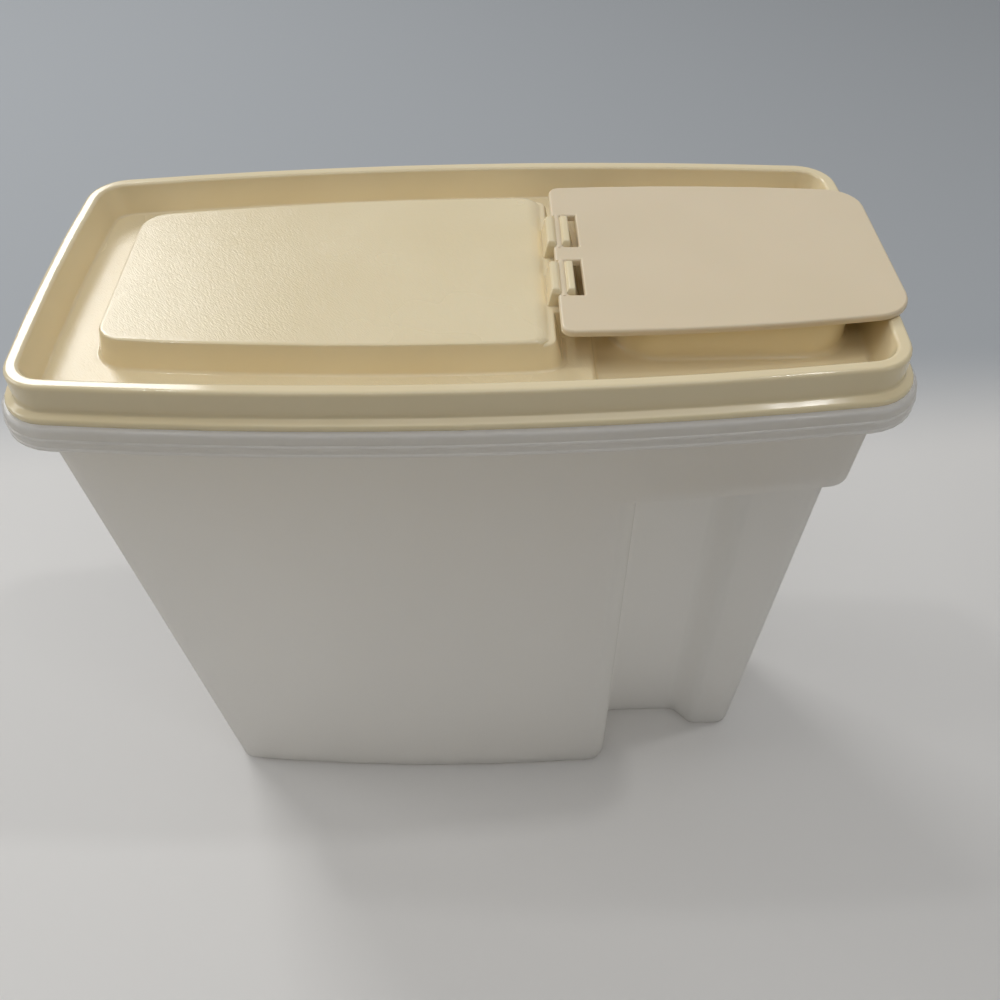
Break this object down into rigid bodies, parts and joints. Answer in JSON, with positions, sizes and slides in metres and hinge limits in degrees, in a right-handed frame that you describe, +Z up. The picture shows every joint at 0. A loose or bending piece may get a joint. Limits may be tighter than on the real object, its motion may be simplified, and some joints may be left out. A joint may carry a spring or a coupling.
{
  "type": "cereal container with flip spout",
  "caption": "Tall tapered cereal keeper with a side grip, a press-on recessed lid and a hinged flap that closes a collared pour opening.",
  "frame": {"origin": "centre of the footprint on the table, under the middle of the rim", "axes": "+X along the lid towards the spout's tip and the grip column, +Y across it, +Z up"},
  "size_m": [0.2686, 0.1358, 0.231],
  "materials": {
    "translucent_body": "satin, milky and translucent",
    "lid_plastic": "glossy, with a fine grain on the flat faces",
    "flap_plastic": "satin, finely textured"
  },
  "bodies": {
    "container": {"container": "translucent_body"},
    "lid": {"lid": "lid_plastic"},
    "flap": {"flap": "flap_plastic"}
  },
  "joints": [
    {"name": "lid_lift", "type": "slide", "parent": "container", "child": "lid", "axis": [0, 0, 1], "range_m": [0, 0.04]},
    {"name": "flap_hinge", "type": "hinge", "parent": "lid", "child": "flap", "pos_m": [0.0313, 0, 0.2289], "axis": [0, -1, 0], "range_deg": [0, 175]}
  ]
}
